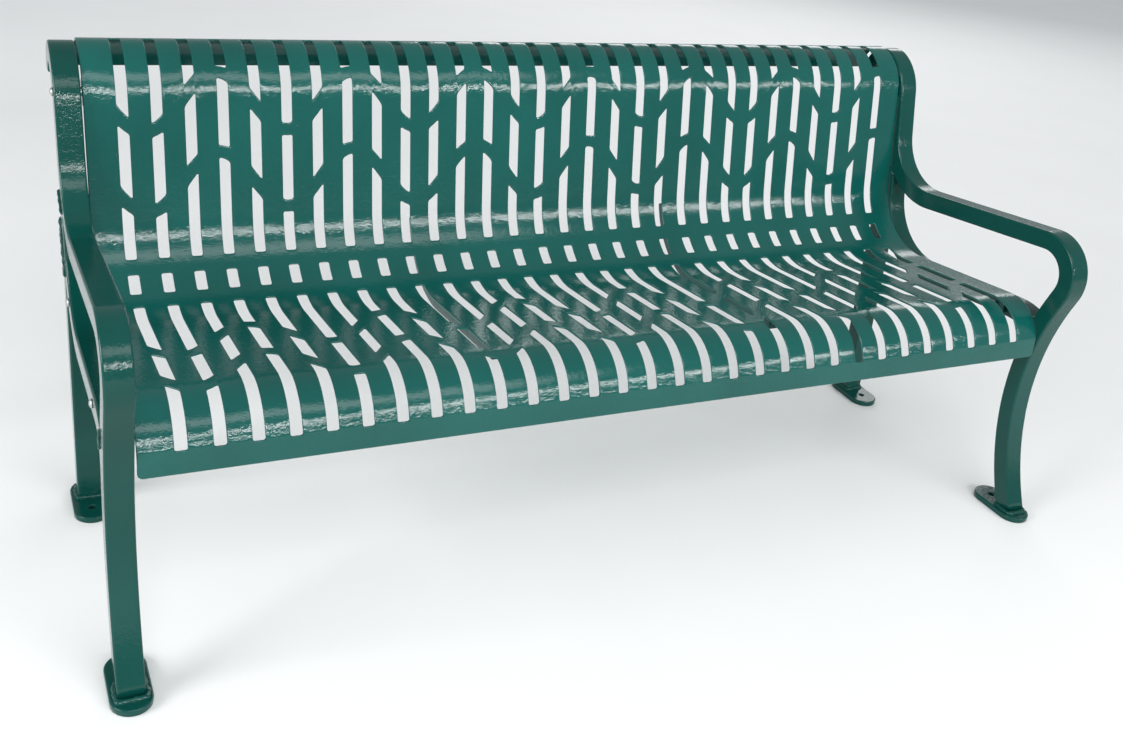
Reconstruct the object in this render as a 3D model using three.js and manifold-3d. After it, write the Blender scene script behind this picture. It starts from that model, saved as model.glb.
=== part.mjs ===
// Park bench: one slotted, formed steel sheet carried by two flat-bar end frames with arms.
// Units are millimetres. +X runs along the bench, the sitter faces -Y, +Z is up.
// The origin is on the ground, at the middle of the bounding box.
import * as THREE from 'three';
import { mergeVertices } from 'three/addons/utils/BufferGeometryUtils.js';
import Module from 'manifold-3d';

const wasm = await Module();
wasm.setup();

// Clearance between neighbouring pieces, and how far a facet may stray inside its arc
const GAP = 0.3;
const FACET_SAG = 1;

// Slot grid of the sheet
const COLUMNS = 30;
const PITCH = 55.7;
const SLOT_WIDTH = 18.7;
const END_MARGIN = 61.5;

// Sheet profile, from the rear edge over the top, down the back and out over the seat
const SHEET = 3.5;
const REAR_EDGE = [387.9, 775];
const REAR_DROP = 2;
const REAR_ROLL_RADIUS = 59;
const REAR_ROLL_SWEEP = 112;
const TOP_ROLL_RADIUS = 98;
const BACK_LEAN = 10.2;
const BACK_STRAIGHT = 215;
const CREASE_RADIUS = 145;
const SEAT_SLOPE = 6.6;
const SEAT_STRAIGHT = 264.6;
const WATERFALL_RADIUS = 83.6;
const LIP_DROP = 18.6;

// Bars of the end frames
const BAR_WIDTH = 42.5;
const BAR_DEPTH = 37;
const FRAME_GAP = 2.5;

// Arm bar, walked along its outer face from the hook to the front foot
const HOOK_EDGE = [381.1, 772.5];
const HOOK_RADIUS = 106;
const UPRIGHT_LEAN = 12.8;
const UPRIGHT_STRAIGHT = 98.4;
const ARM_REAR_RADIUS = 116.8;
const ARM_RISE = 7.1;
const ARM_STRAIGHT = 339.8;
const ARM_FRONT_RADIUS = 85.2;
const LEG_RAKE = 21;
const LEG_STRAIGHT = 24;
const LEG_RADIUS = 540;
const LEG_SWEEP = 55;

// Seat rail, walked along its upper face from below the arm to the front leg
const RAIL_TOP = [209.1, 602];
const RAIL_LEAN = 10.4;
const RAIL_BACK_STRAIGHT = 79;
const RAIL_REAR_RADIUS = 138;
const RAIL_SLOPE = 6.5;
const RAIL_STRAIGHT = 252;
const RAIL_FRONT_RADIUS = 154;
const RAIL_FRONT_SWEEP = 25.7;
const RAIL_TAIL = 16;

// Rear leg, by the middle of its two ends
const REAR_LEG_FOOT_Y = 207.1;
const REAR_LEG_TOP = [228.1, 548];

// Feet; each anchor hole is set off from the middle of its plate, towards the middle of the bench
const PLATE = 12;
const PLATE_WIDTH = 64;
const PLATE_LENGTH = 132;
const FRONT_PLATE_Y = -321.9;
const REAR_PLATE_Y = 186.1;
const ANCHOR_HOLE = 12;
const ANCHOR_OFFSET = 29;
const FOOT_WELD = 7;
const FOOT_WELD_CREST = 2;

// Stiffening ribs under the sheet
const RIB_WIDTH = 27;
const RIB_DEPTH = 20;
const RIB_X = 5 * PITCH;
const RIB_SPAN = [450, 912];

// Slots, as distances along the sheet from its rear edge; four zigzag bridges cross them
const SLOTS_START = 76;
const BACK_SLOTS_END = 496.5;
const SHORT_SLOT = [524.5, 563];
const SEAT_SLOTS_START = 593.5;
const SLOTS_END = 1035.5;
const BACK_WAVES = [174.5, 313.5];
const BACK_WAVE_RISE = 102.5;
const SEAT_WAVES = [692.5, 822.5];
const SEAT_WAVE_RISE = 112.5;
const WAVE_PERIOD = 4.38 * PITCH;
const WAVE_LOW_X = -0.74 * PITCH;
const BRIDGE = 22;

// Tabs under the ends of the sheet, one for each bolt
const TAB_THICKNESS = 6;
const TAB_LENGTH = 50;
const TAB_MARGIN = 13;

// Fasteners: [distance along the sheet, depth below its surface], so that each meets its bar
const BOLT_PLACES = [
  [208, 12.6],
  [553, 25],
  [882, 34],
];
const BOLT_DIAMETER = 8;
const BOLT_HOLE = 8.8;
const BOLT_TAIL = 3;
const HEAD_DIAMETER = 15;
const HEAD_RIM = 2.25;
const HEAD_CROWN_DIAMETER = 10.5;
const HEAD_HEIGHT = 4.5;
const NUT_ACROSS_CORNERS = 15;
const NUT_HEIGHT = 6.5;
const WASHER_DIAMETER = 16;
const WASHER_HEIGHT = 1.6;

const PANEL_HALF = ((COLUMNS - 1) * PITCH) / 2 + END_MARGIN;
const FRAME_INNER = PANEL_HALF + FRAME_GAP;
const FRAME_OUTER = FRAME_INNER + BAR_WIDTH;
const FRAME_MIDDLE = FRAME_INNER + BAR_WIDTH / 2;

const coating = { color: 0x1f5f52, roughness: 0.28, metalness: 0.0 };
const zinc = { color: 0xa9adab, roughness: 0.4, metalness: 0.9 };

const group = new THREE.Group();

// ---- paths in the side plane -------------------------------------------------------------

// A side path is walked like a turtle: straights and bends, in degrees, anticlockwise positive.
// Each station keeps its point [y, z], its left-hand normal and the distance walked.
class SidePath {
  constructor(start, heading) {
    this.point = start;
    this.heading = heading;
    this.walked = 0;
    this.stations = [];
    this.mark();
  }

  mark() {
    const angle = THREE.MathUtils.degToRad(this.heading);
    const normal = [-Math.sin(angle), Math.cos(angle)];
    this.stations.push({ point: [...this.point], normal, s: this.walked });
  }

  straight(length) {
    const angle = THREE.MathUtils.degToRad(this.heading);
    this.point = [
      this.point[0] + Math.cos(angle) * length,
      this.point[1] + Math.sin(angle) * length,
    ];
    this.walked += length;
    this.mark();
    return this;
  }

  bend(radius, degrees) {
    const side = Math.sign(degrees);
    const centre = this.offset(side * radius);
    const facet = THREE.MathUtils.radToDeg(2 * Math.acos(1 - FACET_SAG / radius));
    const steps = Math.ceil(Math.abs(degrees) / facet);
    for (let i = 0; i < steps; i += 1) {
      this.heading += degrees / steps;
      const angle = THREE.MathUtils.degToRad(this.heading);
      this.point = [
        centre[0] + Math.sin(angle) * side * radius,
        centre[1] - Math.cos(angle) * side * radius,
      ];
      this.walked += (THREE.MathUtils.degToRad(Math.abs(degrees)) * radius) / steps;
      this.mark();
    }
    return this;
  }

  offset(distance) {
    const angle = THREE.MathUtils.degToRad(this.heading);
    return [this.point[0] - Math.sin(angle) * distance, this.point[1] + Math.cos(angle) * distance];
  }
}

// Over the top: a tight roll at the rear, then an open one down to the straight of the back.
function topRoll(edge, radius, lean) {
  return new SidePath(edge, 90)
    .straight(REAR_DROP)
    .bend(REAR_ROLL_RADIUS, REAR_ROLL_SWEEP)
    .bend(radius, 180 - lean - REAR_ROLL_SWEEP);
}

function sheetPath() {
  return topRoll(REAR_EDGE, TOP_ROLL_RADIUS, BACK_LEAN)
    .straight(BACK_STRAIGHT)
    .bend(CREASE_RADIUS, -(90 - BACK_LEAN + SEAT_SLOPE))
    .straight(SEAT_STRAIGHT)
    .bend(WATERFALL_RADIUS, 90 + SEAT_SLOPE)
    .straight(LIP_DROP);
}

function armPath() {
  return topRoll(HOOK_EDGE, HOOK_RADIUS, UPRIGHT_LEAN)
    .straight(UPRIGHT_STRAIGHT)
    .bend(ARM_REAR_RADIUS, -(90 - UPRIGHT_LEAN + ARM_RISE))
    .straight(ARM_STRAIGHT)
    .bend(ARM_FRONT_RADIUS, 90 + ARM_RISE + LEG_RAKE)
    .straight(LEG_STRAIGHT)
    .bend(LEG_RADIUS, -LEG_SWEEP);
}

function railPath() {
  return new SidePath(RAIL_TOP, 270 - RAIL_LEAN)
    .straight(RAIL_BACK_STRAIGHT)
    .bend(RAIL_REAR_RADIUS, -(90 - RAIL_LEAN + RAIL_SLOPE))
    .straight(RAIL_STRAIGHT)
    .bend(RAIL_FRONT_RADIUS, RAIL_FRONT_SWEEP)
    .straight(RAIL_TAIL);
}

// Point, normal and distance anywhere along a path.
function stationAt(path, s) {
  const list = path.stations;
  let i = 1;
  while (i < list.length - 1 && list[i].s < s) i += 1;
  const [a, b] = [list[i - 1], list[i]];
  const t = (s - a.s) / (b.s - a.s);
  const mix = (u, v) => [u[0] + (v[0] - u[0]) * t, u[1] + (v[1] - u[1]) * t];
  return { point: mix(a.point, b.point), normal: mix(a.normal, b.normal), s };
}

function sidePoint(station, offset) {
  return [
    station.point[0] + station.normal[0] * offset,
    station.point[1] + station.normal[1] * offset,
  ];
}

function stationsBetween(path, from, to) {
  const inner = path.stations.filter((station) => station.s > from + 0.5 && station.s < to - 0.5);
  return [stationAt(path, from), ...inner, stationAt(path, to)];
}

// ---- solids ------------------------------------------------------------------------------

function toManifold(geometry) {
  const bare = geometry.clone();
  bare.deleteAttribute('normal');
  bare.deleteAttribute('uv');
  const merged = mergeVertices(bare, 1e-4);
  const mesh = new wasm.Mesh({
    numProp: 3,
    vertProperties: new Float32Array(merged.attributes.position.array),
    triVerts: new Uint32Array(merged.index.array),
  });
  return new wasm.Manifold(mesh);
}

function toGeometry(solid) {
  const mesh = solid.getMesh();
  const geometry = new THREE.BufferGeometry();
  geometry.setAttribute('position', new THREE.BufferAttribute(mesh.vertProperties, 3));
  geometry.setIndex(new THREE.BufferAttribute(mesh.triVerts, 1));
  geometry.computeVertexNormals();
  return geometry;
}

// A side outline of [y, z] points, extruded along X.
function sidePlate(outline, xFrom, xTo) {
  const shape = new THREE.Shape(outline.map(([y, z]) => new THREE.Vector2(y, z)));
  const geometry = new THREE.ExtrudeGeometry(shape, { depth: xTo - xFrom, bevelEnabled: false });
  const basis = new THREE.Matrix4().makeBasis(
    new THREE.Vector3(0, 1, 0),
    new THREE.Vector3(0, 0, 1),
    new THREE.Vector3(1, 0, 0),
  );
  geometry.applyMatrix4(basis);
  geometry.translate(xFrom, 0, 0);
  return toManifold(geometry);
}

// The outline of a strip that follows the stations, between two depths below the walked face.
function stripOutline(stations, from, to) {
  const face = stations.map((station) => sidePoint(station, from));
  const back = stations.map((station) => sidePoint(station, to));
  return [...face, ...back.reverse()];
}

// A frame bar; grown by the gap it is the tool that copes its neighbours.
function bar(path, grow = 0) {
  const outline = stripOutline(path.stations, -grow, BAR_DEPTH + grow);
  return sidePlate(outline, FRAME_INNER - grow, FRAME_OUTER + grow);
}

function rodX(diameter, xFrom, xTo, [y, z], segments) {
  const geometry = new THREE.CylinderGeometry(diameter / 2, diameter / 2, xTo - xFrom, segments);
  geometry.rotateZ(-Math.PI / 2);
  geometry.translate((xFrom + xTo) / 2, y, z);
  return toManifold(geometry);
}

function block([x, y, z], [width, depth, height]) {
  const geometry = new THREE.BoxGeometry(width, depth, height);
  geometry.translate(x, y, z);
  return toManifold(geometry);
}

function addPiece(name, solid, finish) {
  const mesh = new THREE.Mesh(toGeometry(solid), new THREE.MeshStandardMaterial(finish));
  mesh.name = name;
  group.add(mesh);
}

// The piece is made for the +X end and mirrored to the other.
function addPair(name, solid, finish) {
  addPiece(`${name}_right`, solid, finish);
  addPiece(`${name}_left`, solid.mirror([1, 0, 0]), finish);
}

// ---- sheet -------------------------------------------------------------------------------

// Depth of the zigzag, 0 at its upper corners and 1 at its lower ones.
function wave(x) {
  const phase = ((x - WAVE_LOW_X) * 2 * Math.PI) / WAVE_PERIOD;
  return (1 + Math.cos(phase)) / 2;
}

// Upper and lower edge of one zigzag bridge at x, as distances along the sheet.
function bridgeEdges(level, rise, x) {
  const step = 1;
  const slope = (rise * (wave(x + step) - wave(x - step))) / (2 * step);
  const half = (BRIDGE / 2) * Math.hypot(1, slope);
  const middle = level + rise * wave(x);
  return [middle - half, middle + half];
}

// The slots of a column, each as a pair of functions of x: where it starts and where it ends.
function columnSlots() {
  const flat = (value) => () => value;
  const starts = [flat(SLOTS_START)];
  const ends = [];
  const cross = (level, rise) => {
    ends.push((x) => bridgeEdges(level, rise, x)[0]);
    starts.push((x) => bridgeEdges(level, rise, x)[1]);
  };
  for (const level of BACK_WAVES) cross(level, BACK_WAVE_RISE);
  ends.push(flat(BACK_SLOTS_END));
  starts.push(flat(SHORT_SLOT[0]));
  ends.push(flat(SHORT_SLOT[1]));
  starts.push(flat(SEAT_SLOTS_START));
  for (const level of SEAT_WAVES) cross(level, SEAT_WAVE_RISE);
  ends.push(flat(SLOTS_END));
  return starts.map((start, i) => [start, ends[i]]);
}

// Triangles between the two long edges of a slot, whose stations are numbered one after another.
function ladder(left, right) {
  const triangles = [];
  let i = 0;
  let j = 0;
  while (i < left.length - 1 || j < right.length - 1) {
    const nextLeft = i < left.length - 1 ? left[i + 1].s : Infinity;
    const nextRight = j < right.length - 1 ? right[j + 1].s : Infinity;
    const stepLeft = nextLeft <= nextRight;
    const next = stepLeft ? i + 1 : left.length + j + 1;
    triangles.push([i, left.length + j, next]);
    if (stepLeft) i += 1;
    else j += 1;
  }
  return triangles;
}

// A solid that passes through the sheet where one slot goes.
function slotCutter(path, columnX, [start, end]) {
  const reach = 3;
  const edges = [columnX - SLOT_WIDTH / 2, columnX + SLOT_WIDTH / 2];
  const [left, right] = edges.map((x) => stationsBetween(path, start(x), end(x)));
  const layer = left.length + right.length;
  const corners = [];
  for (const depth of [-reach, SHEET + reach]) {
    for (const station of left) corners.push(edges[0], ...sidePoint(station, depth));
    for (const station of right) corners.push(edges[1], ...sidePoint(station, depth));
  }
  const faces = [];
  for (const [a, b, c] of ladder(left, right)) {
    faces.push(a, c, b, a + layer, b + layer, c + layer);
  }
  const rightRim = [...right.keys()].map((k) => k + left.length).reverse();
  const rim = [...left.keys(), ...rightRim];
  rim.forEach((a, k) => {
    const b = rim[(k + 1) % rim.length];
    faces.push(a, b + layer, b, a, a + layer, b + layer);
  });
  const geometry = new THREE.BufferGeometry();
  geometry.setAttribute('position', new THREE.Float32BufferAttribute(corners, 3));
  geometry.setIndex(faces);
  return toManifold(geometry);
}

function addSheet(path) {
  let sheet = sidePlate(stripOutline(path.stations, 0, SHEET), -PANEL_HALF, PANEL_HALF);
  const slots = columnSlots();
  for (let column = 0; column < COLUMNS; column += 1) {
    const x = (column - (COLUMNS - 1) / 2) * PITCH;
    for (const slot of slots) sheet = sheet.subtract(slotCutter(path, x, slot));
  }
  addPiece('seat_back_sheet', sheet, coating);
}

// ---- ribs and tabs -----------------------------------------------------------------------

function rib(path, [from, to], depth, xFrom, xTo) {
  const under = SHEET + GAP;
  return sidePlate(stripOutline(stationsBetween(path, from, to), under, under + depth), xFrom, xTo);
}

function addRibs(path) {
  const [xFrom, xTo] = [RIB_X - RIB_WIDTH / 2, RIB_X + RIB_WIDTH / 2];
  addPair('sheet_rib', rib(path, RIB_SPAN, RIB_DEPTH, xFrom, xTo), coating);
}

function boltPoint(path, [s, depth]) {
  return sidePoint(stationAt(path, s), depth);
}

function addTabs(path) {
  BOLT_PLACES.forEach(([s, depth], i) => {
    const span = [s - TAB_LENGTH / 2, s + TAB_LENGTH / 2];
    const reach = depth + TAB_MARGIN - SHEET - GAP;
    const tab = rib(path, span, reach, PANEL_HALF - TAB_THICKNESS, PANEL_HALF);
    addPair(`sheet_tab_${i + 1}`, tab.subtract(boltHole(boltPoint(path, [s, depth]))), coating);
  });
}

// ---- end frames --------------------------------------------------------------------------

function boltHole(point) {
  const overrun = 30;
  return rodX(BOLT_HOLE, PANEL_HALF - overrun, FRAME_OUTER + overrun, point, 12);
}

// Everything below the top of the foot plates.
function underFeet() {
  const deep = 200;
  const top = PLATE + GAP;
  return block([FRAME_MIDDLE, 0, top - deep / 2], [4 * BAR_WIDTH, 1500, deep]);
}

function rearLeg(grow = 0) {
  const run = REAR_LEG_TOP[0] - REAR_LEG_FOOT_Y;
  const rise = REAR_LEG_TOP[1] - PLATE;
  const heading = THREE.MathUtils.radToDeg(Math.atan2(rise, run));
  const overrun = 20;
  const start = [REAR_LEG_FOOT_Y - (run * overrun) / rise, PLATE - overrun];
  const leg = new SidePath(start, heading).straight(Math.hypot(run, rise) + overrun);
  const outline = stripOutline(leg.stations, -BAR_DEPTH / 2 - grow, BAR_DEPTH / 2 + grow);
  return sidePlate(outline, FRAME_INNER - grow, FRAME_OUTER + grow);
}

// A frame bar loses the bolt holes that fall inside it.
function drilled(solid, boltPoints) {
  return boltPoints.reduce((result, point) => result.subtract(boltHole(point)), solid);
}

function addBars(boltPoints) {
  const arm = bar(armPath()).subtract(underFeet());
  const rail = bar(railPath()).subtract(bar(armPath(), GAP));
  const leg = rearLeg().subtract(underFeet()).subtract(bar(railPath(), GAP));
  addPair('arm_bar', drilled(arm, boltPoints), coating);
  addPair('seat_rail', drilled(rail, boltPoints), coating);
  addPair('rear_leg', leg, coating);
}

// A plate with round ends; the hole lies towards the middle of the bench.
function footPlate(y, holeY) {
  const radius = PLATE_WIDTH / 2;
  const reach = PLATE_LENGTH / 2 - radius;
  const shape = new THREE.Shape();
  shape.absarc(0, reach, radius, 0, Math.PI, false);
  shape.absarc(0, -reach, radius, Math.PI, 2 * Math.PI, false);
  const hole = new THREE.Path();
  hole.absarc(0, holeY - y, ANCHOR_HOLE / 2, 0, 2 * Math.PI, true);
  shape.holes.push(hole);
  const options = { depth: PLATE, bevelEnabled: false, curveSegments: 10 };
  const geometry = new THREE.ExtrudeGeometry(shape, options);
  geometry.translate(FRAME_MIDDLE, y, 0);
  return toManifold(geometry);
}

// A sloped collar of weld around the foot of a leg.
function footWeld(y, length, leg) {
  const foot = [BAR_WIDTH, length].map((size) => size / 2 + FOOT_WELD);
  const crest = [BAR_WIDTH, length].map((size) => size / 2 + FOOT_WELD_CREST);
  const geometry = new THREE.BoxGeometry(2, 2, FOOT_WELD);
  const position = geometry.attributes.position;
  for (let i = 0; i < position.count; i += 1) {
    const half = position.getZ(i) > 0 ? crest : foot;
    position.setX(i, position.getX(i) * half[0]);
    position.setY(i, position.getY(i) * half[1]);
  }
  geometry.translate(FRAME_MIDDLE, y, PLATE + GAP + FOOT_WELD / 2);
  return toManifold(geometry).subtract(leg);
}

// Where the outer face of the arm bar meets the top of the plate.
function armFoot() {
  const path = armPath();
  let s = path.walked;
  while (stationAt(path, s).point[1] < PLATE) s -= 1;
  return stationAt(path, s);
}

function addFeet() {
  const outerFoot = armFoot();
  const slantedDepth = BAR_DEPTH / Math.abs(outerFoot.normal[0]);
  const armMiddleY = outerFoot.point[0] + slantedDepth / 2;
  addPair('front_foot_plate', footPlate(FRONT_PLATE_Y, FRONT_PLATE_Y + ANCHOR_OFFSET), coating);
  addPair('rear_foot_plate', footPlate(REAR_PLATE_Y, REAR_PLATE_Y - ANCHOR_OFFSET), coating);
  addPair('front_foot_weld', footWeld(armMiddleY, slantedDepth, bar(armPath(), GAP)), coating);
  addPair('rear_foot_weld', footWeld(REAR_LEG_FOOT_Y, BAR_DEPTH, rearLeg(GAP)), coating);
}

// ---- fasteners ---------------------------------------------------------------------------

function bolt(point) {
  const inner = PANEL_HALF - TAB_THICKNESS - WASHER_HEIGHT - NUT_HEIGHT - 2 * GAP - BOLT_TAIL;
  const face = FRAME_OUTER + GAP;
  const rim = rodX(HEAD_DIAMETER, face, face + HEAD_RIM, point, 16);
  const crown = rodX(HEAD_CROWN_DIAMETER, face, face + HEAD_HEIGHT, point, 16);
  return rodX(BOLT_DIAMETER, inner, face + HEAD_RIM, point, 12).add(rim).add(crown);
}

function ring(outer, segments, xFrom, xTo, point) {
  return rodX(outer, xFrom, xTo, point, segments).subtract(boltHole(point));
}

function addFasteners(boltPoints) {
  boltPoints.forEach((point, i) => {
    const washerFace = PANEL_HALF - TAB_THICKNESS - GAP;
    const nutFace = washerFace - WASHER_HEIGHT - GAP;
    const number = i + 1;
    const spacer = ring(WASHER_DIAMETER, 16, PANEL_HALF + GAP, FRAME_INNER - GAP, point);
    const washer = ring(WASHER_DIAMETER, 16, washerFace - WASHER_HEIGHT, washerFace, point);
    const nut = ring(NUT_ACROSS_CORNERS, 6, nutFace - NUT_HEIGHT, nutFace, point);
    addPair(`frame_bolt_${number}`, bolt(point), zinc);
    addPair(`gap_spacer_${number}`, spacer, zinc);
    addPair(`bolt_washer_${number}`, washer, zinc);
    addPair(`bolt_nut_${number}`, nut, zinc);
  });
}

// ---- assembly ----------------------------------------------------------------------------

const sheetLine = sheetPath();
const boltPoints = BOLT_PLACES.map((place) => boltPoint(sheetLine, place));
addSheet(sheetLine);
addRibs(sheetLine);
addTabs(sheetLine);
addBars(boltPoints);
addFeet();
addFasteners(boltPoints);

export default group;
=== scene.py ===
"""Looks for the slotted steel park bench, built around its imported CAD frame.

Lengths are metres, +Z is up and the sitter faces -Y.
"""

import math

import bmesh
import bpy
import numpy as np
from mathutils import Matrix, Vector, noise


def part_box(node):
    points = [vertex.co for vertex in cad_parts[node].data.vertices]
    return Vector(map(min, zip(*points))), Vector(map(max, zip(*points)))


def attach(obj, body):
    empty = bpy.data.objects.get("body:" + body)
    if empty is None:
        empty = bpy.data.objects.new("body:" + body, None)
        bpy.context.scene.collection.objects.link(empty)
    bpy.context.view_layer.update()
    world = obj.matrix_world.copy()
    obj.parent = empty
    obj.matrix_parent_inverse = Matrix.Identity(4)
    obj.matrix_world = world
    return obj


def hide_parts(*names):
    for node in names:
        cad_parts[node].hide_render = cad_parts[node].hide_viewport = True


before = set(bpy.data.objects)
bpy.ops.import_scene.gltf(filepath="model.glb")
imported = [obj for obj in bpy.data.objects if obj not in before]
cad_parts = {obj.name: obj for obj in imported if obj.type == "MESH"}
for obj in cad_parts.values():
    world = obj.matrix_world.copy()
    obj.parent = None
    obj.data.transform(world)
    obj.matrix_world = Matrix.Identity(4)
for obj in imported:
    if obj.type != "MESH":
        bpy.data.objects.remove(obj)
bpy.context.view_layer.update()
MM = 0.001

# Slot grid and profile of the sheet, as in the CAD part
COLUMNS = 30
PITCH = 55.7 * MM
SLOT_WIDTH = 18.7 * MM
SHEET = 3.5 * MM
REAR_DROP = 2 * MM
REAR_ROLL_RADIUS = 59 * MM
REAR_ROLL_SWEEP = 112
TOP_ROLL_RADIUS = 98 * MM
BACK_LEAN = 10.2
BACK_STRAIGHT = 215 * MM
CREASE_RADIUS = 145 * MM
SEAT_SLOPE = 6.6
SEAT_STRAIGHT = 264.6 * MM
WATERFALL_RADIUS = 83.6 * MM
LIP_DROP = 18.6 * MM
SLOTS_START = 76 * MM
BACK_SLOTS_END = 496.5 * MM
SHORT_SLOT = (524.5 * MM, 563 * MM)
SEAT_SLOTS_START = 593.5 * MM
SLOTS_END = 1035.5 * MM
BACK_WAVES = (174.5 * MM, 313.5 * MM)
BACK_WAVE_RISE = 102.5 * MM
SEAT_WAVES = (692.5 * MM, 822.5 * MM)
SEAT_WAVE_RISE = 112.5 * MM
WAVE_PERIOD = 4.38 * PITCH
WAVE_LOW_X = -0.74 * PITCH
BRIDGE = 22 * MM

# Frame bars, as in the CAD part
BAR_DEPTH = 37 * MM
HOOK_RADIUS = 106 * MM
UPRIGHT_LEAN = 12.8
UPRIGHT_STRAIGHT = 98.4 * MM
ARM_REAR_RADIUS = 116.8 * MM
ARM_RISE = 7.1
ARM_STRAIGHT = 339.8 * MM
ARM_FRONT_RADIUS = 85.2 * MM
LEG_RAKE = 21
LEG_STRAIGHT = 24 * MM
LEG_RADIUS = 540 * MM
LEG_SWEEP = 55
RAIL_TOP = (209.1 * MM, 602 * MM)
RAIL_LEAN = 10.4
RAIL_BACK_STRAIGHT = 79 * MM
RAIL_REAR_RADIUS = 138 * MM
RAIL_SLOPE = 6.5
RAIL_STRAIGHT = 252 * MM
RAIL_FRONT_RADIUS = 154 * MM
RAIL_FRONT_SWEEP = 25.7
RAIL_TAIL = 16 * MM
REAR_LEG_FOOT_Y = 207.1 * MM
REAR_LEG_TOP = (228.1 * MM, 548 * MM)

# Ribs, tabs and bolts, as in the CAD part
RIB_DEPTH = 20 * MM
RIB_SPAN = (450 * MM, 912 * MM)
TAB_LENGTH = 50 * MM
TAB_MARGIN = 13 * MM
BOLT_PLACES = ((208 * MM, 12.6 * MM), (553 * MM, 25 * MM), (882 * MM, 34 * MM))
ANCHOR_HOLE = 12 * MM
ANCHOR_OFFSET = 29 * MM

# The slight crease above the flat lip, and the spacing of the mesh rows along the sheet
LIP_CREASE = 1033 * MM
LIP_CREASE_HALF = 7.2 * MM
LIP_CREASE_RISE = 0.9 * MM
ROW = 6.5 * MM
FINE_ROW = 1.8 * MM

# How the thick coat rounds things off
SLOT_CORNER = 3.2 * MM
SHEET_CORNER = 8 * MM
RIM_ROUND = 1.35 * MM
BAR_ROUND = 4 * MM
PLATE_ROUND = 3 * MM
WELD_ROUND = 3.2 * MM
FOOT_WELD_ROUND = 5.5 * MM
WELD_LUMPS_PER_METRE = 160
RIB_ROUND = 2.5 * MM
TAB_ROUND = 1.5 * MM
BAR_STEP = 8 * MM
RIM_ANGLE = 55

# Bolt shank inside the frame, and how deep a standing bar sinks into the weld on its plate
SHANK_RADIUS = 4 * MM
SHANK_TIP_RADIUS = 3.2 * MM
SINK = 1 * MM
FOOT_CLEARANCE = 4 * MM

# Colours of the coats, each as its darker and lighter tone. Sheet and frame wear one green coat; the frame's
# tones are set darker than the sheet's as painted shade on the frame
SHEET_TONES = ((0.0028, 0.070, 0.060, 1), (0.0042, 0.088, 0.076, 1))
FRAME_TONES_PAINTED_SHADE = ((0.0022, 0.047, 0.038, 1), (0.0032, 0.060, 0.050, 1))
COAT_IOR = 1.42
FLOOR_REACH = 14

SIDES = {"right": 1, "left": -1}

PANEL_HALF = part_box("seat_back_sheet")[1].x
FRAME_INNER, FRAME_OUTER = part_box("arm_bar_right")[0].x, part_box("arm_bar_right")[1].x
FRAME_MIDDLE = (FRAME_INNER + FRAME_OUTER) / 2
BAR_WIDTH = FRAME_OUTER - FRAME_INNER
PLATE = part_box("front_foot_plate_right")[1].z
ROLL_HEIGHT = REAR_ROLL_RADIUS + REAR_DROP
REAR_EDGE = (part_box("seat_back_sheet")[1].y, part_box("seat_back_sheet")[1].z - ROLL_HEIGHT)
HOOK_EDGE = (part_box("arm_bar_right")[1].y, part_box("arm_bar_right")[1].z - ROLL_HEIGHT)


# ---- paths in the side plane ---------------------------------------------------------------------

class Walk:
    """A path of straights and bends in the YZ plane. Headings are degrees, anticlockwise positive."""

    def __init__(self, start, heading):
        self.parts = []
        self.point = np.array(start, float)
        self.heading = heading
        self.length = 0.0

    def straight(self, length):
        return self._add(length, 0.0)

    def bend(self, radius, degrees):
        sweep = math.radians(degrees)
        return self._add(abs(sweep) * radius, sweep)

    def _add(self, length, sweep):
        self.parts.append((self.length, length, self.point, math.radians(self.heading), sweep))
        self.length += length
        self.heading += math.degrees(sweep)
        self.point = self._place(self.parts[-1], np.array([length]))[0][0]
        return self

    @staticmethod
    def _place(part, run):
        """Points and headings at the distances run along one part."""
        _, length, start, heading, sweep = part
        turn = sweep * run / length
        angle = heading + turn
        if sweep == 0:
            step = np.stack([math.cos(heading) * run, math.sin(heading) * run], -1)
        else:
            radius = length / sweep
            across = (np.sin(angle) - math.sin(heading)) * radius
            along = (math.cos(heading) - np.cos(angle)) * radius
            step = np.stack([across, along], -1)
        return start + step, angle

    def at(self, s):
        """Points [.., 2] and left-hand normals [.., 2] at the distances s, which may lie past the ends."""
        s = np.asarray(s, float)
        points = np.zeros(s.shape + (2,))
        angles = np.zeros(s.shape)
        for i, part in enumerate(self.parts):
            low = -np.inf if i == 0 else part[0]
            high = np.inf if i == len(self.parts) - 1 else part[0] + part[1]
            inside = (s >= low) & (s <= high)
            points[inside], angles[inside] = self._place(part, s[inside] - part[0])
        return points, np.stack([-np.sin(angles), np.cos(angles)], -1)

    def offset(self, s, depth):
        points, normals = self.at(s)
        return points + normals * np.asarray(depth, float)[..., None]


def top_roll(edge, radius, lean):
    roll = Walk(edge, 90).straight(REAR_DROP).bend(REAR_ROLL_RADIUS, REAR_ROLL_SWEEP)
    return roll.bend(radius, 180 - lean - REAR_ROLL_SWEEP)


def sheet_walk():
    walk = top_roll(REAR_EDGE, TOP_ROLL_RADIUS, BACK_LEAN).straight(BACK_STRAIGHT)
    walk.bend(CREASE_RADIUS, -(90 - BACK_LEAN + SEAT_SLOPE)).straight(SEAT_STRAIGHT)
    return walk.bend(WATERFALL_RADIUS, 90 + SEAT_SLOPE).straight(LIP_DROP)


def arm_walk():
    walk = top_roll(HOOK_EDGE, HOOK_RADIUS, UPRIGHT_LEAN).straight(UPRIGHT_STRAIGHT)
    walk.bend(ARM_REAR_RADIUS, -(90 - UPRIGHT_LEAN + ARM_RISE)).straight(ARM_STRAIGHT)
    walk.bend(ARM_FRONT_RADIUS, 90 + ARM_RISE + LEG_RAKE).straight(LEG_STRAIGHT)
    return walk.bend(LEG_RADIUS, -LEG_SWEEP)


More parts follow.
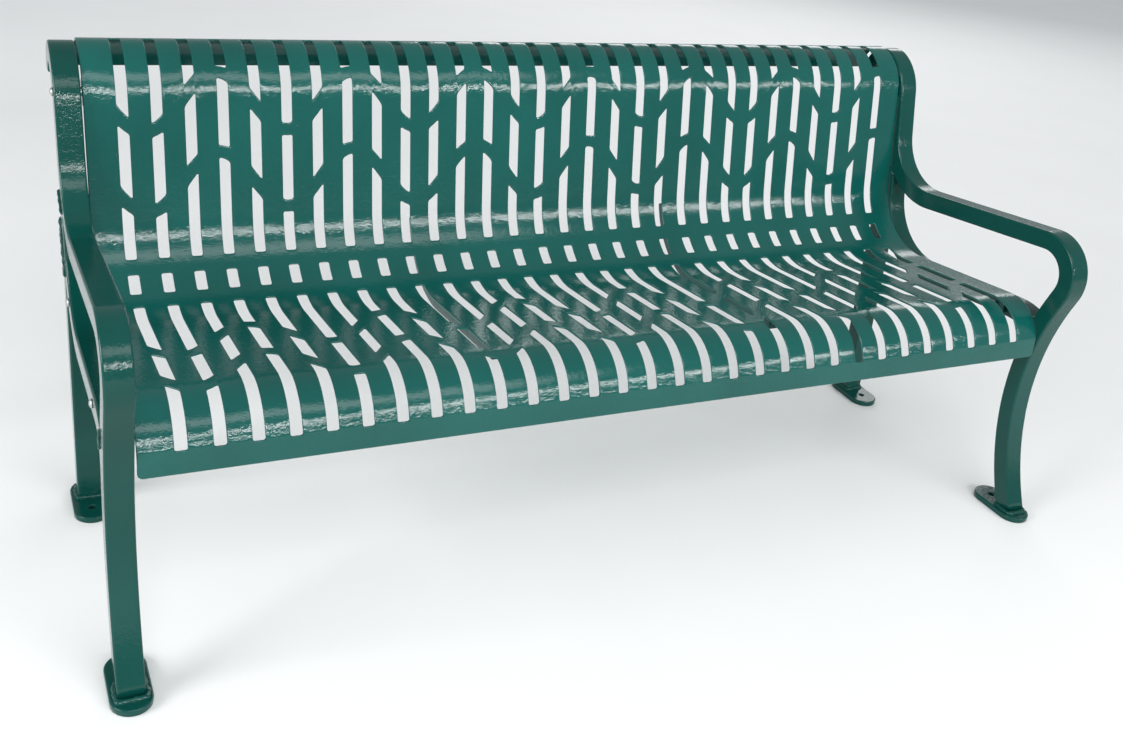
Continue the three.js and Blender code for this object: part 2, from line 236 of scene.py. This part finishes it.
def rail_walk():
    walk = Walk(RAIL_TOP, 270 - RAIL_LEAN).straight(RAIL_BACK_STRAIGHT)
    walk.bend(RAIL_REAR_RADIUS, -(90 - RAIL_LEAN + RAIL_SLOPE)).straight(RAIL_STRAIGHT)
    return walk.bend(RAIL_FRONT_RADIUS, RAIL_FRONT_SWEEP).straight(RAIL_TAIL)


def rear_leg_walk():
    """The front face of the rear leg, from its top down."""
    run = REAR_LEG_TOP[0] - REAR_LEG_FOOT_Y
    rise = REAR_LEG_TOP[1] - PLATE
    start = (REAR_LEG_TOP[0] - BAR_DEPTH / 2, REAR_LEG_TOP[1])
    return Walk(start, 270 - math.degrees(math.atan2(run, rise))).straight(math.hypot(run, rise))


# ---- mesh helpers --------------------------------------------------------------------------------

def new_piece(name, vertices, faces, material, body="root"):
    mesh = bpy.data.meshes.new(name)
    mesh.from_pydata([tuple(v) for v in vertices], [], faces)
    mesh.update()
    piece = bpy.data.objects.new(name, mesh)
    bpy.context.scene.collection.objects.link(piece)
    mesh.materials.append(material)
    tidy(mesh)
    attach(piece, body)
    return piece


def tidy(mesh):
    """Merges doubled points, turns all faces outward and shades smooth."""
    work = bmesh.new()
    work.from_mesh(mesh)
    bmesh.ops.remove_doubles(work, verts=work.verts, dist=1e-6)
    bmesh.ops.recalc_face_normals(work, faces=work.faces)
    for face in work.faces:
        face.smooth = True
    work.to_mesh(mesh)
    work.free()


def loft(rings, closed_ends=True):
    """Faces that join rings with equal counts of points, in order, with a face over each end."""
    count = len(rings[0])
    faces = []
    for k in range(len(rings) - 1):
        for i in range(count):
            j = (i + 1) % count
            faces.append((k * count + i, k * count + j, (k + 1) * count + j, (k + 1) * count + i))
    if closed_ends:
        faces.append(tuple(range(count)))
        faces.append(tuple((len(rings) - 1) * count + i for i in reversed(range(count))))
    else:
        last = (len(rings) - 1) * count
        faces += [(last + i, last + (i + 1) % count, (i + 1) % count, i) for i in range(count)]
    return faces


def rounded_section(width, depth, radius, inset=0.0, steps=4):
    """Points of a rounded rectangle: across from -width/2 to width/2, down from 0 to depth."""
    half, radius = width / 2 - inset, max(radius - inset * 0.5, 0.0002)
    low, high = inset, depth - inset
    corners = [(half - radius, high - radius, 0), (-half + radius, high - radius, 90),
               (-half + radius, low + radius, 180), (half - radius, low + radius, 270)]
    points = []
    for x, n, start in corners:
        for i in range(steps + 1):
            angle = math.radians(start + 90 * i / steps)
            points.append((x + radius * math.cos(angle), n + radius * math.sin(angle)))
    return np.array(points)


def sweep_bar(walk, x_middle, width, depth, radius, span, under=0.0, round_ends=(True, True)):
    """Rings of a rounded bar whose upper face lies under the walk, over a span of distances along it."""
    start, end = span
    count = max(4, int((end - start) / BAR_STEP))
    stations = [(s, 0.0) for s in np.linspace(start, end, count + 1)]
    ends = [(0.0, 0.9), (0.25, 0.35), (0.9, 0.0)]
    if round_ends[0]:
        stations = [(start + radius * a, radius * b) for a, b in ends] + stations[1:]
    if round_ends[1]:
        stations = stations[:-1] + [(end - radius * a, radius * b) for a, b in reversed(ends)]
    rings = []
    for s, inset in stations:
        section = rounded_section(width, depth, radius, inset)
        sides = walk.offset(np.full(len(section), s), section[:, 1] + under)
        rings.append([(x_middle + x, y, z) for (x, _), (y, z) in zip(section, sides)])
    return rings


def flatten_rings(rings):
    return [point for ring in rings for point in ring]


def tube(points, radius, wobble, seed, sides=10):
    """Rings of a tube round a closed line of points, its radius wobbling like a hand-laid weld."""
    points = [Vector(p) for p in points]
    count = len(points)
    rings = []
    for k in range(count):
        ahead, behind = points[(k + 1) % count], points[k - 1]
        tangent = (ahead - behind).normalized()
        side = tangent.cross(Vector((0.3, 0.5, 0.81))).normalized()
        up = tangent.cross(side).normalized()
        ring = []
        for i in range(sides):
            angle = 2 * math.pi * i / sides
            spoke = side * math.cos(angle) + up * math.sin(angle)
            lump = noise.noise((points[k] + spoke * radius) * WELD_LUMPS_PER_METRE + Vector((seed, seed, 0)))
            ring.append(points[k] + spoke * radius * (1 + wobble * lump))
        rings.append(ring)
    return rings


def loop_points(corners, spacing=3 * MM, corner_radius=4 * MM):
    """Points along a closed loop through the corners, with the corners rounded."""
    corners = [Vector(c) for c in corners]
    line = []
    for k, corner in enumerate(corners):
        before, after = corners[k - 1], corners[(k + 1) % len(corners)]
        enter = corner + (before - corner).normalized() * corner_radius
        leave = corner + (after - corner).normalized() * corner_radius
        for i in range(4):
            t = i / 3
            line.append(enter * (1 - t) ** 2 + corner * 2 * t * (1 - t) + leave * t ** 2)
        straight = (after - corner).length - 2 * corner_radius
        steps = max(1, int(straight / spacing))
        far = after + (corner - after).normalized() * corner_radius
        line += [leave.lerp(far, i / steps) for i in range(1, steps)]
    return line


# ---- materials -----------------------------------------------------------------------------------

def coat_material(name, seed, tones, specular):
    """Thick green plastic coat: glossy, with orange peel, slight unevenness of tone and of gloss."""
    material = bpy.data.materials.new(name)
    material.use_nodes = True
    nodes, links = material.node_tree.nodes, material.node_tree.links
    shader = nodes["Principled BSDF"]
    place = nodes.new("ShaderNodeTexCoord")
    shift = nodes.new("ShaderNodeMapping")
    shift.inputs["Location"].default_value = (seed, seed * 2, seed * 3)
    links.new(place.outputs["Object"], shift.inputs["Vector"])

    def noise_node(scale, detail, roughness=0.5):
        node = nodes.new("ShaderNodeTexNoise")
        node.inputs["Scale"].default_value = scale
        node.inputs["Detail"].default_value = detail
        node.inputs["Roughness"].default_value = roughness
        links.new(shift.outputs["Vector"], node.inputs["Vector"])
        return node.outputs["Fac"]

    def ramp(source, stops):
        node = nodes.new("ShaderNodeValToRGB")
        for element, (position, color) in zip(node.color_ramp.elements, stops):
            element.position, element.color = position, color
        links.new(source, node.inputs["Fac"])
        return node.outputs["Color"]

    def bump(height, strength, distance, below=None):
        node = nodes.new("ShaderNodeBump")
        node.inputs["Strength"].default_value = strength
        node.inputs["Distance"].default_value = distance
        links.new(height, node.inputs["Height"])
        if below:
            links.new(below, node.inputs["Normal"])
        return node.outputs["Normal"]

    tone = ramp(noise_node(5, 4), [(0.3, tones[0]), (0.7, tones[1])])
    gloss = ramp(noise_node(22, 5, 0.6), [(0.35, (0.06, 0.06, 0.06, 1)), (0.75, (0.12, 0.12, 0.12, 1))])
    links.new(tone, shader.inputs["Base Color"])
    links.new(gloss, shader.inputs["Roughness"])
    peel = bump(noise_node(120, 2), 0.30, 0.0012)
    grain = bump(noise_node(330, 3), 0.42, 0.0006, peel)
    links.new(grain, shader.inputs["Normal"])
    shader.inputs["IOR"].default_value = COAT_IOR
    shader.inputs["Specular IOR Level"].default_value = specular
    return material


def zinc_material():
    """Dull zinc plate with a fine spangle and handling marks."""
    material = bpy.data.materials.new("zinc_plate")
    material.use_nodes = True
    nodes, links = material.node_tree.nodes, material.node_tree.links
    shader = nodes["Principled BSDF"]
    shader.inputs["Metallic"].default_value = 1.0
    place = nodes.new("ShaderNodeTexCoord")
    spangle = nodes.new("ShaderNodeTexVoronoi")
    spangle.inputs["Scale"].default_value = 420
    links.new(place.outputs["Object"], spangle.inputs["Vector"])
    tone = nodes.new("ShaderNodeValToRGB")
    tone.color_ramp.elements[0].color = (0.34, 0.35, 0.35, 1)
    tone.color_ramp.elements[1].color = (0.60, 0.61, 0.60, 1)
    links.new(spangle.outputs["Distance"], tone.inputs["Fac"])
    links.new(tone.outputs["Color"], shader.inputs["Base Color"])
    marks = nodes.new("ShaderNodeTexNoise")
    marks.inputs["Scale"].default_value = 260
    marks.inputs["Detail"].default_value = 6
    links.new(place.outputs["Object"], marks.inputs["Vector"])
    dull = nodes.new("ShaderNodeMapRange")
    dull.inputs["To Min"].default_value = 0.28
    dull.inputs["To Max"].default_value = 0.55
    links.new(marks.outputs["Fac"], dull.inputs["Value"])
    links.new(dull.outputs["Result"], shader.inputs["Roughness"])
    return material


def floor_material():
    material = bpy.data.materials.new("pale_floor")
    material.use_nodes = True
    nodes, links = material.node_tree.nodes, material.node_tree.links
    shader = nodes["Principled BSDF"]
    place = nodes.new("ShaderNodeTexCoord")
    mottle = nodes.new("ShaderNodeTexNoise")
    mottle.inputs["Scale"].default_value = 3
    links.new(place.outputs["Object"], mottle.inputs["Vector"])
    tone = nodes.new("ShaderNodeValToRGB")
    tone.color_ramp.elements[0].color = (0.86, 0.86, 0.86, 1)
    tone.color_ramp.elements[1].color = (0.90, 0.90, 0.90, 1)
    links.new(mottle.outputs["Fac"], tone.inputs["Fac"])
    links.new(tone.outputs["Color"], shader.inputs["Base Color"])
    shader.inputs["Roughness"].default_value = 0.9
    return material


# ---- sheet ---------------------------------------------------------------------------------------

def wave(x):
    """Depth of the zigzag, 0 at its upper corners and 1 at its lower ones."""
    phase = (x - WAVE_LOW_X) * 2 * math.pi / WAVE_PERIOD
    return (1 + np.cos(phase)) / 2


def bridge_edges(level, rise, x):
    step = 1 * MM
    slope = rise * (wave(x + step) - wave(x - step)) / (2 * step)
    half = BRIDGE / 2 * np.hypot(1, slope)
    middle = level + rise * wave(x)
    return [middle - half, middle + half]


def slot_limits(x):
    """Distances along the sheet where slots start and end at x: start, end, start, end and so on."""
    flat = np.ones_like(x)
    limits = [SLOTS_START * flat]
    for level in BACK_WAVES:
        limits += bridge_edges(level, BACK_WAVE_RISE, x)
    limits += [BACK_SLOTS_END * flat, SHORT_SLOT[0] * flat, SHORT_SLOT[1] * flat, SEAT_SLOTS_START * flat]
    for level in SEAT_WAVES:
        limits += bridge_edges(level, SEAT_WAVE_RISE, x)
    limits.append(SLOTS_END * flat)
    return np.stack(limits, -1)


def corner_pull(distance, radius):
    """How far a rounded corner draws back at a distance from the side edge."""
    reach = np.clip(radius - distance, 0, radius)
    return radius - np.sqrt(radius ** 2 - reach ** 2)


def sheet_columns():
    """Grid lines across the bench: x, whether a slot follows, and the pull of the slot's corner."""
    half = SLOT_WIDTH / 2
    ease = SLOT_CORNER * 0.3
    offsets = [-half, -half + ease, -half + SLOT_CORNER, 0, half - SLOT_CORNER, half - ease, half]
    inset = [0, SHEET_CORNER * 0.15, SHEET_CORNER * 0.5, SHEET_CORNER]
    lines = [(-PANEL_HALF + u, False, 0.0) for u in inset]
    for column in range(COLUMNS):
        middle = (column - (COLUMNS - 1) / 2) * PITCH
        if column > 0:
            rung = (PITCH - SLOT_WIDTH) / 4
            lines += [(middle - half - rung * k, False, 0.0) for k in (3, 2, 1)]
        else:
            first = lines[-1][0]
            lines += [(first + (middle - half - first) * k / 4, False, 0.0) for k in (1, 2, 3)]
        for offset in offsets:
            pull = corner_pull(half - abs(offset), SLOT_CORNER)
            lines.append((middle + offset, offset < half, float(pull)))
    last = lines[-1][0]
    edge = PANEL_HALF - SHEET_CORNER
    lines += [(last + (edge - last) * k / 4, False, 0.0) for k in (1, 2, 3)]
    lines += [(PANEL_HALF - u, False, 0.0) for u in reversed(inset)]
    return lines


def sheet_grid(walk):
    """Grid of x and distance along the sheet, and which of its cells are metal."""
    lines = sheet_columns()
    x = np.array([line[0] for line in lines])
    in_slot = np.array([line[1] for line in lines[:-1]])
    pull = np.array([line[2] for line in lines])
    limits = slot_limits(x)
    limits[:, 0::2] += pull[:, None]
    limits[:, 1::2] -= pull[:, None]
    rim = corner_pull(PANEL_HALF - np.abs(x), SHEET_CORNER)
    last = limits[:, -1]
    edges = [rim, *limits.T[:-1], last - LIP_CREASE_HALF, last, last + LIP_CREASE_HALF, walk.length - rim]
    rows = []
    slot_rows = []
    for k, (low, high) in enumerate(zip(edges, edges[1:])):
        beside_crease = k in (len(edges) - 4, len(edges) - 3)
        count = max(2, math.ceil((high - low).max() / (FINE_ROW if beside_crease else ROW)))
        rows += [low + (high - low) * i / count for i in range(count)]
        in_band = k % 2 == 1 if k < limits.shape[1] else k == len(edges) - 4
        slot_rows += [in_band] * count
    rows.append(edges[-1])
    metal = ~(in_slot[:, None] & np.array(slot_rows)[None, :])
    return x, np.stack(rows, 1), metal


def sheet_faces(metal, count_s, layer):
    """Faces of both sides of the sheet and of the walls wherever metal meets a slot or the outside."""
    def index(i, r, side):
        return side * layer + i * count_s + r

    faces = []
    wide, tall = metal.shape
    for i in range(wide):
        for r in range(tall):
            if not metal[i, r]:
                continue
            faces.append([index(i, r, 0), index(i, r + 1, 0), index(i + 1, r + 1, 0), index(i + 1, r, 0)])
            faces.append([index(i, r, 1), index(i + 1, r, 1), index(i + 1, r + 1, 1), index(i, r + 1, 1)])
            walls = [
                (i == 0 or not metal[i - 1, r], (i, r), (i, r + 1)),
                (i == wide - 1 or not metal[i + 1, r], (i + 1, r + 1), (i + 1, r)),
                (r == 0 or not metal[i, r - 1], (i + 1, r), (i, r)),
                (r == tall - 1 or not metal[i, r + 1], (i, r + 1), (i + 1, r + 1)),
            ]
            for is_wall, a, b in walls:
                if is_wall:
                    faces.append([index(*a, 0), index(*a, 1), index(*b, 1), index(*b, 0)])
    return faces


def build_sheet(walk, material):
    x, s, metal = sheet_grid(walk)
    points, normals = walk.at(s)
    layers = []
    rise = LIP_CREASE_RISE * np.clip(1 - np.abs(s - LIP_CREASE) / LIP_CREASE_HALF, 0, 1)
    for depth in (0.0, SHEET):
        side = points + normals * (depth - rise)[..., None]
        layers.append(np.dstack([np.repeat(x[:, None], s.shape[1], 1), side]).reshape(-1, 3))
    vertices = np.concatenate(layers)
    faces = sheet_faces(metal, s.shape[1], len(layers[0]))
    mesh = bpy.data.meshes.new("slotted_sheet")
    mesh.from_pydata(vertices.tolist(), [], faces)
    work = bmesh.new()
    work.from_mesh(mesh)
    bmesh.ops.delete(work, geom=[v for v in work.verts if not v.link_faces], context="VERTS")
    bmesh.ops.recalc_face_normals(work, faces=work.faces)
    sharp = math.radians(RIM_ANGLE)
    rims = [edge for edge in work.edges if edge.is_manifold and edge.calc_face_angle() > sharp]
    bmesh.ops.bevel(work, geom=rims, offset=RIM_ROUND, segments=2, profile=0.5, affect="EDGES",
                    clamp_overlap=False)
    for face in work.faces:
        face.smooth = True
    work.to_mesh(mesh)
    work.free()
    mesh.materials.append(material)
    piece = bpy.data.objects.new("slotted_sheet", mesh)
    bpy.context.scene.collection.objects.link(piece)
    weigh_normals(piece)
    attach(piece, "root")
    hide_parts("seat_back_sheet")


def weigh_normals(piece):
    """Lets the large faces lead the shading, so that only the rounded rims turn the light."""
    modifier = piece.modifiers.new("weighted_normals", "WEIGHTED_NORMAL")
    modifier.mode = "FACE_AREA"
    modifier.weight = 80


def build_under_parts(walk, material):
    """The two long ribs and the bolt tabs under the sheet."""
    for name, side in SIDES.items():
        low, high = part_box(f"sheet_rib_{name}")
        middle, width = (low.x + high.x) / 2, high.x - low.x
        rings = sweep_bar(walk, middle, width, RIB_DEPTH, RIB_ROUND, RIB_SPAN, under=SHEET)
        piece = new_piece(f"long_rib_{name}", flatten_rings(rings), loft(rings), material)
        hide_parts(f"sheet_rib_{name}")
        for number, (s, depth) in enumerate(BOLT_PLACES, 1):
            label = f"{number}_{name}"
            low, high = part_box(f"sheet_tab_{label}")
            middle, width = (low.x + high.x) / 2, high.x - low.x
            span = (s - TAB_LENGTH / 2, s + TAB_LENGTH / 2)
            reach = depth + TAB_MARGIN - SHEET
            rings = sweep_bar(walk, middle, width, reach, TAB_ROUND, span, under=SHEET)
            vertices = flatten_rings(rings)
            piece = new_piece(f"bolt_tab_{label}", vertices, loft(rings), material)
            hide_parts(f"sheet_tab_{label}")


# ---- end frames ----------------------------------------------------------------------------------

def settle_on_plate(ring, walk, s):
    """Slides the points of the last ring along the bar until they rest in the top of the foot plate."""
    _, normal = walk.at(np.array([s]))
    down = Vector((0, normal[0][1], -normal[0][0]))
    return [Vector(p) + down * ((PLATE - SINK - p[2]) / down.z) for p in ring]


def foot_reach(walk):
    """The distance along the walk at which a bar comes close above its plate."""
    s = np.linspace(0, walk.length, 4000)
    upper, under = (walk.offset(s, np.full_like(s, depth))[:, 1] for depth in (0, BAR_DEPTH))
    return s[np.argmax(np.minimum(upper, under) < PLATE + FOOT_CLEARANCE)]


def build_bar(name, node, walk, side, material, inset, end=None, stands=False):
    end = walk.length if end is None else end
    width = BAR_WIDTH - 2 * inset
    middle = side * FRAME_MIDDLE
    rings = sweep_bar(walk, middle, width, BAR_DEPTH, BAR_ROUND, (0, end), round_ends=(True, not stands))
    if stands:
        rings.append(settle_on_plate(rings[-1], walk, end))
    piece = new_piece(name, flatten_rings(rings), loft(rings), material)
    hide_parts(node)
    weigh_normals(piece)


def build_weld(name, corners, radius, material, seed, node=None):
    rings = tube(loop_points(corners), radius, wobble=0.5, seed=seed)
    piece = new_piece(name, flatten_rings(rings), loft(rings, closed_ends=False), material)
    if node:
        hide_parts(node)


def crossing(walk_a, depth_a, walk_b, depth_b, s_range):
    """The point where face depth_a of walk_a, within s_range, comes nearest to face depth_b of walk_b."""
    a = np.linspace(*s_range, 400)
    b = np.linspace(0, walk_b.length, 1500)
    points_a = walk_a.offset(a, np.full_like(a, depth_a))
    points_b = walk_b.offset(b, np.full_like(b, depth_b))
    gap = np.linalg.norm(points_a[:, None] - points_b[None], axis=2)
    return points_a[np.unravel_index(gap.argmin(), gap.shape)[0]]


def section_loop(side, first, second):
    """The four corners of a weld round a bar, between two points of the side plane."""
    inner, outer = side * FRAME_INNER, side * FRAME_OUTER
    return [(inner, *first), (outer, *first), (outer, *second), (inner, *second)]


def foot_loop(side, walk, end):
    """The four corners of a weld round the foot of a bar."""
    corners = []
    for depth in (0, BAR_DEPTH):
        point, normal = walk.at(np.array([end]))
        y, z = (point + normal * depth)[0]
        slope = normal[0][1] / normal[0][0]
        corners.append(y + (z - PLATE) * slope)
    inner, outer = side * FRAME_INNER, side * FRAME_OUTER
    z = PLATE + SINK
    return [(inner, corners[0], z), (outer, corners[0], z), (outer, corners[1], z), (inner, corners[1], z)]


def build_frames(material):
    arm, rail, leg = arm_walk(), rail_walk(), rear_leg_walk()
    arm_end, leg_end = foot_reach(arm), foot_reach(leg)
    thin = 0.2 * MM
    for name, side in SIDES.items():
        build_bar(f"bent_arm_bar_{name}", f"arm_bar_{name}", arm, side, material, 0, arm_end, True)
        build_bar(f"bent_seat_rail_{name}", f"seat_rail_{name}", rail, side, material, thin)
        build_bar(f"straight_rear_leg_{name}", f"rear_leg_{name}", leg, side, material, 2 * thin,
                  leg_end, True)
        half = rail.length / 2
        faces = (0, BAR_DEPTH)
        upper = [crossing(rail, depth, arm, BAR_DEPTH, (0, half)) for depth in faces]
        front = [crossing(rail, depth, arm, BAR_DEPTH, (half, rail.length)) for depth in faces]
        rear = [crossing(leg, depth, rail, BAR_DEPTH, (0, leg.length)) for depth in faces]
        for where, (first, second) in {"upper": upper, "front": front, "rear": rear}.items():
            corners = section_loop(side, first, second)
            build_weld(f"{where}_weld_{name}", corners, WELD_ROUND, material, side * 3.1)
        for where, walk, end in (("front", arm, arm_end), ("rear", leg, leg_end)):
            node = f"{where}_foot_weld_{name}"
            corners = foot_loop(side, walk, end)
            build_weld(f"{where}_foot_bead_{name}", corners, FOOT_WELD_ROUND, material, side * 5.3, node)


# ---- feet ----------------------------------------------------------------------------------------

def stadium_reach(angle, centre, radius, straight):
    """Distance from a point on the plate's long axis to its outline, in one direction."""
    direction = np.array([math.cos(angle), math.sin(angle)])
    low, high = 0.0, 1.0
    for _ in range(40):
        middle = (low + high) / 2
        x, y = direction[0] * middle, centre + direction[1] * middle
        beyond = max(abs(y) - straight, 0)
        inside = math.hypot(x, beyond) < radius if beyond > 0 else abs(x) < radius
        low, high = (middle, high) if inside else (low, middle)
    return low


def build_foot_plate(node, material):
    low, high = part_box(node)
    middle_x, middle_y = (low.x + high.x) / 2, (low.y + high.y) / 2
    radius = (high.x - low.x) / 2
    straight = (high.y - low.y) / 2 - radius
    hole = ANCHOR_OFFSET if middle_y < 0 else -ANCHOR_OFFSET
    hole_radius = ANCHOR_HOLE / 2
    outline = [(1.2 * MM, low.z), (0, low.z + 1.5 * MM), (0, high.z - PLATE_ROUND)]
    for i in (1, 2, 3, 4):
        angle = math.radians(90 * i / 4)
        outline.append((PLATE_ROUND * (1 - math.cos(angle)), high.z - PLATE_ROUND * (1 - math.sin(angle))))
    bore = [(hole_radius + 2 * MM, high.z), (hole_radius + 0.6 * MM, high.z - 0.5 * MM),
            (hole_radius, high.z - 2 * MM), (hole_radius, low.z)]
    steps = 72
    rings = []
    for inset, z in outline:
        ring = []
        for k in range(steps):
            angle = 2 * math.pi * k / steps
            reach = stadium_reach(angle, hole, radius - inset, straight)
            ring.append((middle_x + math.cos(angle) * reach, middle_y + hole + math.sin(angle) * reach, z))
        rings.append(ring)
    for r, z in bore:
        turns = [2 * math.pi * k / steps for k in range(steps)]
        rings.append([(middle_x + math.cos(t) * r, middle_y + hole + math.sin(t) * r, z) for t in turns])
    name = node.replace("foot_plate", "anchor_plate")
    piece = new_piece(name, flatten_rings(rings), loft(rings, closed_ends=False), material)
    weigh_normals(piece)
    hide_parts(node)


# ---- fasteners -----------------------------------------------------------------------------------

def turned(profile, y, z, direction, sides=32):
    """Rings of a turned piece along X: the profile holds (x, radius) pairs."""
    rings = []
    for x, radius in profile:
        turns = [2 * math.pi * k / sides * direction for k in range(sides)]
        rings.append([(x, y + math.cos(t) * radius, z + math.sin(t) * radius) for t in turns])
    return rings


def build_fasteners(zinc):
    for name, side in SIDES.items():
        for number in range(1, len(BOLT_PLACES) + 1):
            node = f"frame_bolt_{number}_{name}"
            low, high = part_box(node)
            y, z = (low.y + high.y) / 2, (low.z + high.z) / 2
            radius = (high.z - low.z) / 2
            inner, outer = (low.x, high.x) if side > 0 else (high.x, low.x)
            rise = abs(outer - side * FRAME_OUTER)
            dome = [(radius * math.cos(a), rise * math.sin(a)) for a in np.radians([0, 15, 32, 50, 68, 84])]
            profile = [(inner, SHANK_TIP_RADIUS), (inner + side * 1 * MM, SHANK_RADIUS)]
            profile += [(side * FRAME_OUTER, SHANK_RADIUS)]
            profile += [(side * FRAME_OUTER, radius * 0.97)]
            profile += [(side * (FRAME_OUTER + up), max(r, 0.2 * MM)) for r, up in dome]
            rings = turned(profile, y, z, side)
            vertices = flatten_rings(rings)
            piece = new_piece(f"dome_bolt_{number}_{name}", vertices, loft(rings), zinc)
            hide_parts(node)
    for node, cad_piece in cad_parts.items():
        if node.startswith(("gap_spacer", "bolt_washer", "bolt_nut")):
            cad_piece.data.materials.clear()
            cad_piece.data.materials.append(zinc)


# ---- studio --------------------------------------------------------------------------------------

def area_light(name, place, target, size, power):
    data = bpy.data.lights.new(name, "AREA")
    data.shape = "RECTANGLE"
    data.size, data.size_y = size
    data.energy = power
    light = bpy.data.objects.new(name, data)
    light.location = place
    light.rotation_euler = (Vector(target) - Vector(place)).to_track_quat("-Z", "Y").to_euler()
    bpy.context.scene.collection.objects.link(light)


def sky_world():
    """An even studio surround that grows brighter above the horizon and dims again overhead."""
    world = bpy.data.worlds.new("studio")
    world.use_nodes = True
    nodes, links = world.node_tree.nodes, world.node_tree.links
    place = nodes.new("ShaderNodeTexCoord")
    split = nodes.new("ShaderNodeSeparateXYZ")
    links.new(place.outputs["Generated"], split.inputs["Vector"])
    tone = nodes.new("ShaderNodeValToRGB")
    low, high = tone.color_ramp.elements
    low.position, low.color = 0.0, (0.42, 0.44, 0.45, 1)
    high.position, high.color = 1.0, (0.46, 0.48, 0.49, 1)
    tone.color_ramp.elements.new(0.3).color = (0.50, 0.53, 0.54, 1)
    links.new(split.outputs["Z"], tone.inputs["Fac"])
    links.new(tone.outputs["Color"], nodes["Background"].inputs["Color"])
    return world


def build_studio():
    floor_mesh = bpy.data.meshes.new("floor")
    corners = [(x * FLOOR_REACH, y * FLOOR_REACH, 0) for x, y in ((-1, -1), (1, -1), (1, 1), (-1, 1))]
    floor_mesh.from_pydata(corners, [], [(0, 1, 2, 3)])
    floor_mesh.materials.append(floor_material())
    floor = bpy.data.objects.new("floor", floor_mesh)
    bpy.context.scene.collection.objects.link(floor)
    bpy.context.scene.world = sky_world()
    bench_middle = (0, 0, 0.6)
    area_light("front_strip", (1.2, -6.5, 2.9), bench_middle, (9.0, 0.3), 360)
    area_light("front_high", (0.0, -4.0, 4.6), bench_middle, (5.0, 1.5), 80)
    area_light("left_card", (-6.0, -1.0, 2.5), bench_middle, (3.0, 2.5), 270)
    area_light("rear_card", (4.0, 5.2, 3.0), bench_middle, (4.5, 1.5), 70)


def build_camera():
    data = bpy.data.cameras.new("camera")
    data.sensor_width = 36
    data.lens = 38.86
    data.shift_x = 0.0089
    data.shift_y = -0.0675
    camera = bpy.data.objects.new("camera", data)
    camera.location = (-1.0562, -1.8379, 1.3565)
    camera.rotation_euler = [math.radians(angle) for angle in (66.04, -6.42, -25.07)]
    bpy.context.scene.collection.objects.link(camera)
    bpy.context.scene.camera = camera


# ---- build ---------------------------------------------------------------------------------------

def main():
    build_camera()
    build_studio()
    bpy.context.scene.view_settings.view_transform = "Standard"
    sheet_coat = coat_material("green_coat_sheet", 0.0, SHEET_TONES, specular=0.5)
    # The frame coat is the sheet's green made darker, as painted shade on the frame bars, welds and foot
    # plates
    frame_coat_painted_shade = coat_material("green_coat_frame_painted_shade", 7.3, FRAME_TONES_PAINTED_SHADE, specular=0.38)
    zinc = zinc_material()
    line = sheet_walk()
    build_sheet(line, sheet_coat)
    build_under_parts(line, sheet_coat)
    build_frames(frame_coat_painted_shade)
    for where in ("front", "rear"):
        for side in SIDES:
            build_foot_plate(f"{where}_foot_plate_{side}", frame_coat_painted_shade)
    build_fasteners(zinc)


main()
